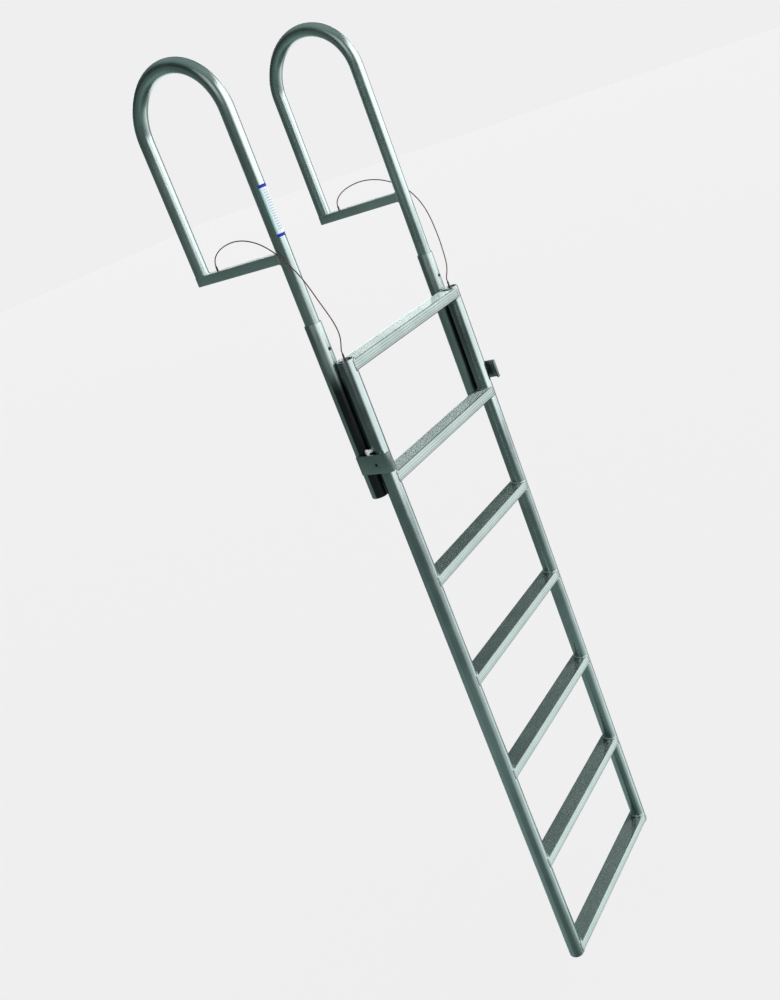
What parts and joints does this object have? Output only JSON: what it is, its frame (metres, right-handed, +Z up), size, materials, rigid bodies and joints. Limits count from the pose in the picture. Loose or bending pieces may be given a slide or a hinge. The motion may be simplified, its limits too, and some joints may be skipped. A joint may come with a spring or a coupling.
{
  "type": "boat boarding ladder",
  "caption": "Retracting aluminium dock and boat ladder: bent handrail hoops on foot bars, sleeves with guide straps, and a sliding section of grooved treads between round rails.",
  "frame": {"origin": "deck level, the centre of the rectangle of the four deck bolt holes on the foot bars' underside", "axes": "+X along the treads to the climber's right as they face the dock, +Y back over the deck, +Z up"},
  "size_m": [0.6066, 0.394, 2.6678],
  "materials": {
    "frame_aluminium": "satin clear-anodised tube and bar with a slight green-grey cast",
    "ladder_aluminium": "satin clear-anodised tube and grooved extrusion with a slight green-grey cast",
    "steel": "stainless steel, turned or stamped",
    "wire_coating": "dark maroon coating on wire and crimps",
    "black_plastic": "moulded, slightly rough",
    "foot_rubber": "dull dark rubber",
    "label": "blank white vinyl label with blue ends"
  },
  "bodies": {
    "dock_frame": {"handrail_left": "frame_aluminium", "handrail_right": "frame_aluminium", "foot_bar_left": "frame_aluminium", "foot_bar_right": "frame_aluminium", "sleeve_left": "frame_aluminium", "sleeve_right": "frame_aluminium", "guide_strap_left": "frame_aluminium", "guide_strap_right": "frame_aluminium", "button_spring_left": "steel", "button_spring_right": "steel", "lanyard_anchor_left": "wire_coating", "lanyard_anchor_right": "wire_coating", "lanyard_left": "wire_coating", "lanyard_right": "wire_coating", "label_sticker": "label"},
    "ladder_section": {"rail_left": "ladder_aluminium", "rail_right": "ladder_aluminium", "rung_1": "ladder_aluminium", "rung_2": "ladder_aluminium", "rung_3": "ladder_aluminium", "rung_4": "ladder_aluminium", "rung_5": "ladder_aluminium", "rung_6": "ladder_aluminium", "rung_7": "ladder_aluminium", "rail_cap_left": "black_plastic", "rail_cap_right": "black_plastic", "rail_foot_left": "foot_rubber", "rail_foot_right": "foot_rubber", "stop_bolt_left": "steel", "stop_bolt_right": "steel", "rivet_nut_left": "steel", "rivet_nut_right": "steel"},
    "snap_button_left": {"snap_button_left": "steel"},
    "lock_pin_left": {"lock_pin_left": "steel", "lanyard_ferrule_left": "wire_coating"},
    "snap_button_right": {"snap_button_right": "steel"},
    "lock_pin_right": {"lock_pin_right": "steel", "lanyard_ferrule_right": "wire_coating"}
  },
  "joints": [
    {"name": "ladder_lift", "type": "slide", "parent": "dock_frame", "child": "ladder_section", "axis": [0, 0, 1], "range_m": [0, 0.61], "deforming": ["lanyard_left", "lanyard_right"]},
    {"name": "snap_button_left_press", "type": "slide", "parent": "dock_frame", "child": "snap_button_left", "axis": [0, 1, 0], "range_m": [0, 0.0064], "stiffness_N_per_m": 1200, "springref_m": -0.002, "deforming": ["button_spring_left"]},
    {"name": "lock_pin_left_pull", "type": "slide", "parent": "ladder_section", "child": "lock_pin_left", "axis": [0, 0, 1], "range_m": [0, 0.05], "deforming": ["lanyard_left"]},
    {"name": "snap_button_right_press", "type": "slide", "parent": "dock_frame", "child": "snap_button_right", "axis": [0, 1, 0], "range_m": [0, 0.0064], "stiffness_N_per_m": 1200, "springref_m": -0.002, "deforming": ["button_spring_right"]},
    {"name": "lock_pin_right_pull", "type": "slide", "parent": "ladder_section", "child": "lock_pin_right", "axis": [0, 0, 1], "range_m": [0, 0.05], "deforming": ["lanyard_right"]}
  ]
}
